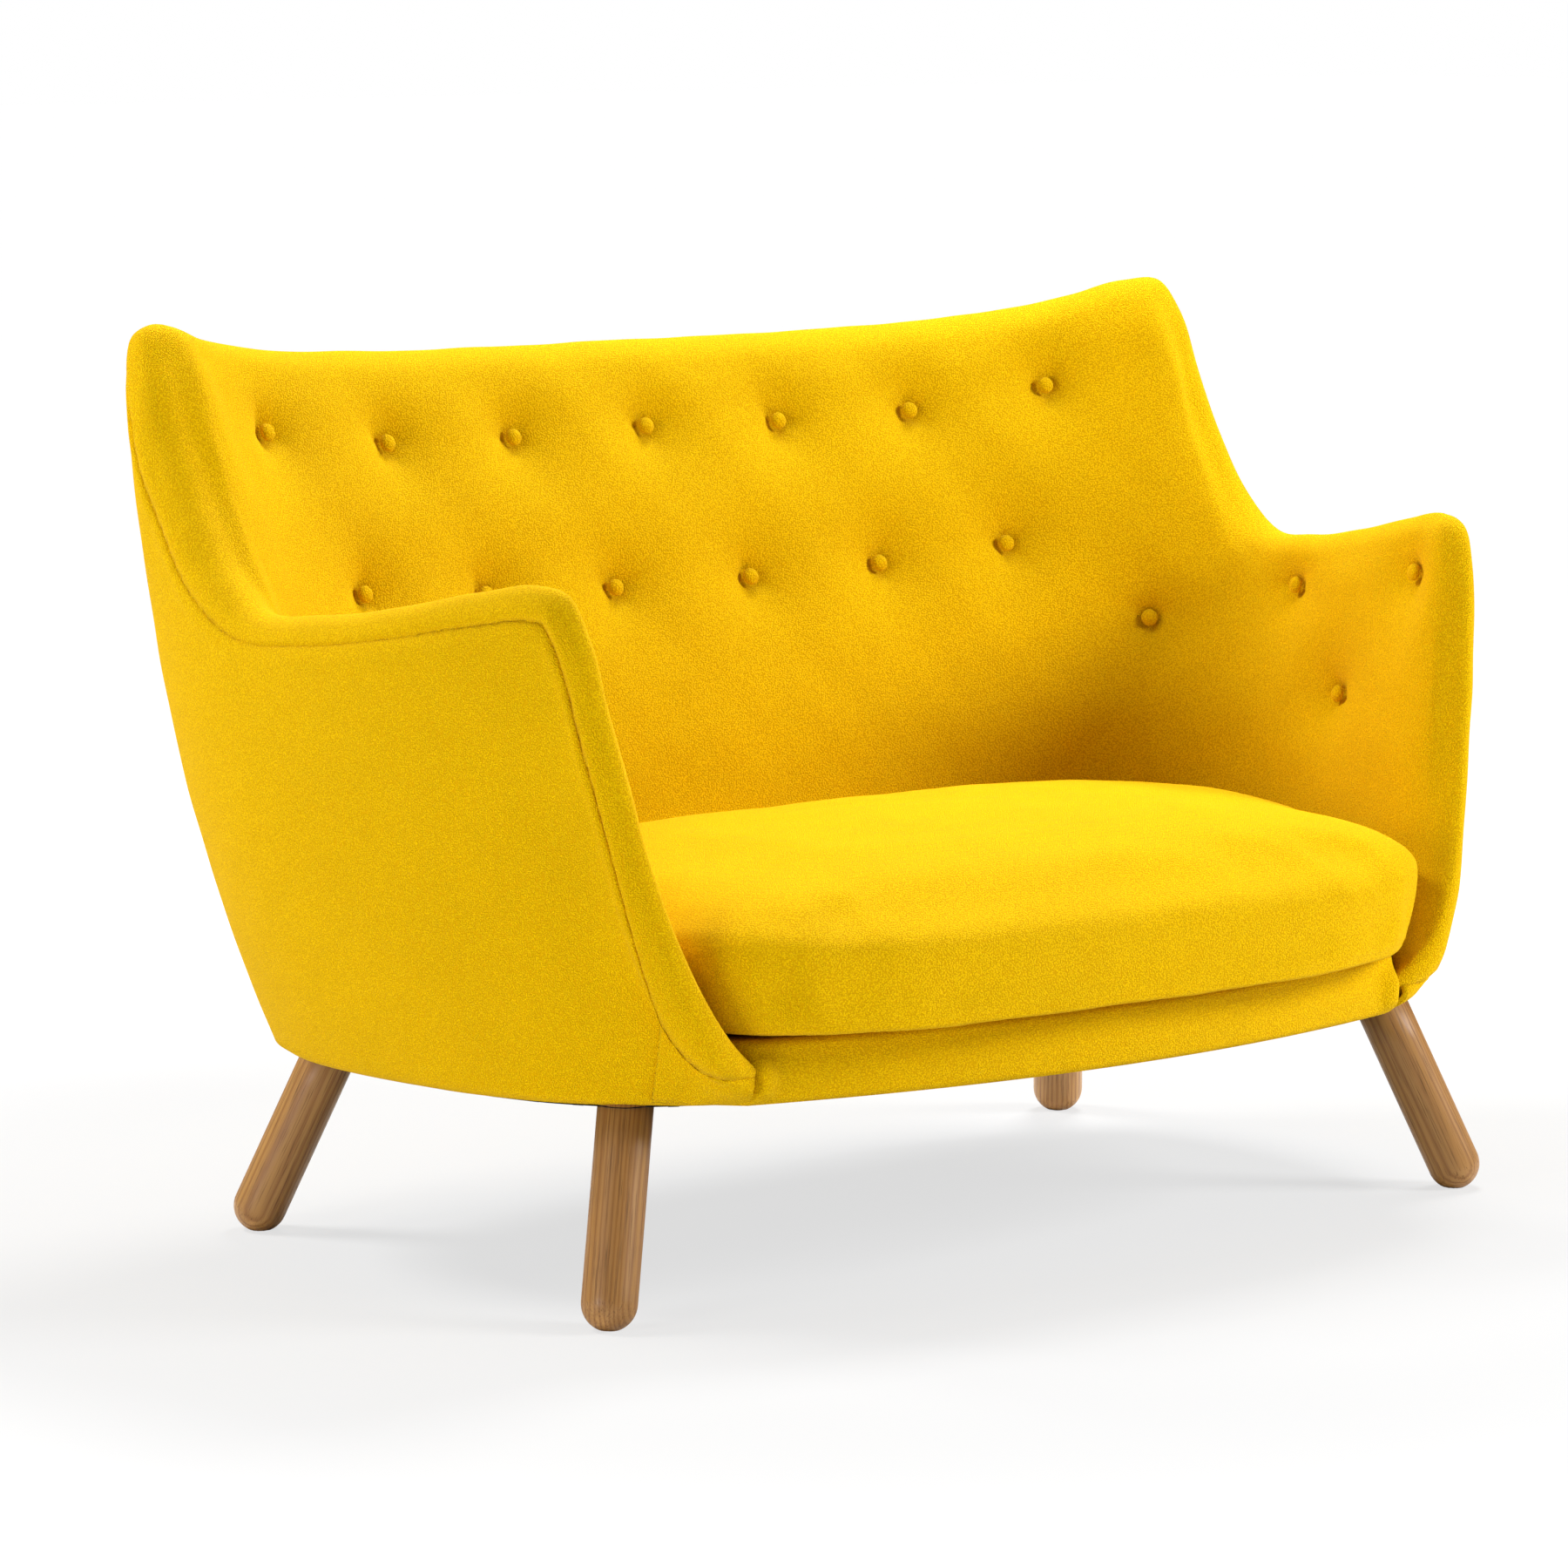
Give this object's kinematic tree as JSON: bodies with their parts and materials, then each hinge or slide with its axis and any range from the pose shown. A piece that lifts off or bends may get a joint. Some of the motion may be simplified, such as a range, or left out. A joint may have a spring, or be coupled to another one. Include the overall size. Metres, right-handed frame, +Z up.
{
  "type": "sofa",
  "caption": "Compact two-seat sofa with a curved button-tufted shell, eared back, low arms, loose seat cushion and splayed round wooden legs.",
  "frame": {"origin": "on the floor, at the middle of the overall width and depth", "axes": "+X along the sofa's width, to the right of someone facing its front; +Y towards the back; +Z up"},
  "size_m": [1.3152, 0.8163, 0.8596],
  "materials": {
    "upholstery": "coarse woven wool, matt",
    "padding": "foam and wadding, matt",
    "frame_timber": "planed beech, unfinished",
    "leg_wood": "oiled, satin",
    "webbing": "woven jute, matt",
    "dust_cloth": "black woven cloth, matt",
    "steel": "zinc plated"
  },
  "bodies": {
    "sofa": {"back_edge_roll": "upholstery", "outside_back": "upholstery", "left_edge_roll": "upholstery", "right_edge_roll": "upholstery", "left_outside_arm": "upholstery", "right_outside_arm": "upholstery", "front_apron": "upholstery", "button_back_top_middle": "upholstery", "button_back_top_1_left": "upholstery", "button_back_top_1_right": "upholstery", "button_back_top_2_left": "upholstery", "button_back_top_2_right": "upholstery", "button_back_top_3_left": "upholstery", "button_back_top_3_right": "upholstery", "button_back_low_1_left": "upholstery", "button_back_low_1_right": "upholstery", "button_back_low_2_left": "upholstery", "button_back_low_2_right": "upholstery", "button_back_low_3_left": "upholstery", "button_back_low_3_right": "upholstery", "button_corner_left": "upholstery", "button_corner_right": "upholstery", "button_arm_rear_left": "upholstery", "button_arm_rear_right": "upholstery", "button_arm_front_left": "upholstery", "button_arm_front_right": "upholstery", "button_arm_low_left": "upholstery", "button_arm_low_right": "upholstery", "back_pad": "padding", "left_arm_pad": "padding", "right_arm_pad": "padding", "seat_deck_pad": "padding", "back_top_rail": "frame_timber", "left_back_post": "frame_timber", "left_wing_post": "frame_timber", "left_arm_rail": "frame_timber", "left_arm_post": "frame_timber", "right_back_post": "frame_timber", "right_wing_post": "frame_timber", "right_arm_rail": "frame_timber", "right_arm_post": "frame_timber", "rear_rail": "frame_timber", "front_rail": "frame_timber", "left_side_rail": "frame_timber", "right_side_rail": "frame_timber", "left_front_corner_block": "frame_timber", "left_rear_corner_block": "frame_timber", "right_front_corner_block": "frame_timber", "right_rear_corner_block": "frame_timber", "left_front_leg": "leg_wood", "left_rear_leg": "leg_wood", "right_front_leg": "leg_wood", "right_rear_leg": "leg_wood", "left_front_leg_bolt": "steel", "left_rear_leg_bolt": "steel", "right_front_leg_bolt": "steel", "right_rear_leg_bolt": "steel", "seat_webbing": "webbing", "dust_cover": "dust_cloth"},
    "cushion": {"seat_cushion": "upholstery"}
  },
  "joints": [
    {"name": "cushion_lift", "type": "slide", "parent": "sofa", "child": "cushion", "axis": [0, 0, 1], "range_m": [0, 0.6]}
  ]
}
